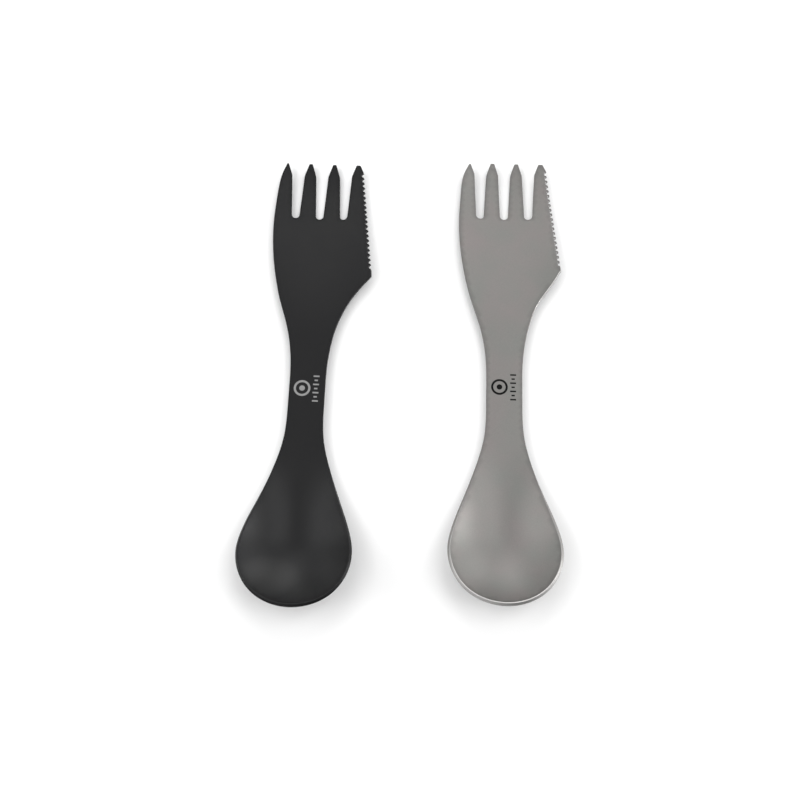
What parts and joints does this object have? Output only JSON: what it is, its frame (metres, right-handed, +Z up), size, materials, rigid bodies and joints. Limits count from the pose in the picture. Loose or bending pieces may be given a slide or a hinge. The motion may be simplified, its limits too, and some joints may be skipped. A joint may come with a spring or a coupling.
{
  "type": "picnic cutlery set",
  "caption": "One-piece metal picnic utensils lying side by side, with a spoon bowl at one end and a fork with a serrated cutting edge at the other.",
  "frame": {"origin": "centre of the set's bounding box, at the level of the table it lies on", "axes": "+Y from the spoon bowls to the fork tips, +X from the black utensil to the bare titanium one, +Z up from the table"},
  "size_m": [0.1106, 0.1654, 0.0145],
  "materials": {
    "black_coating": "satin black coating over bead-blasted titanium",
    "bare_titanium": "bead-blasted bare titanium, matte grey, with polished edges"
  },
  "bodies": {
    "black_spork": {"black_spork": "black_coating"},
    "titanium_spork": {"titanium_spork": "bare_titanium"}
  },
  "joints": [
    {"name": "titanium_spork_lift", "type": "slide", "parent": "black_spork", "child": "titanium_spork", "axis": [0, 0, 1], "range_m": [0, 0.1]}
  ]
}
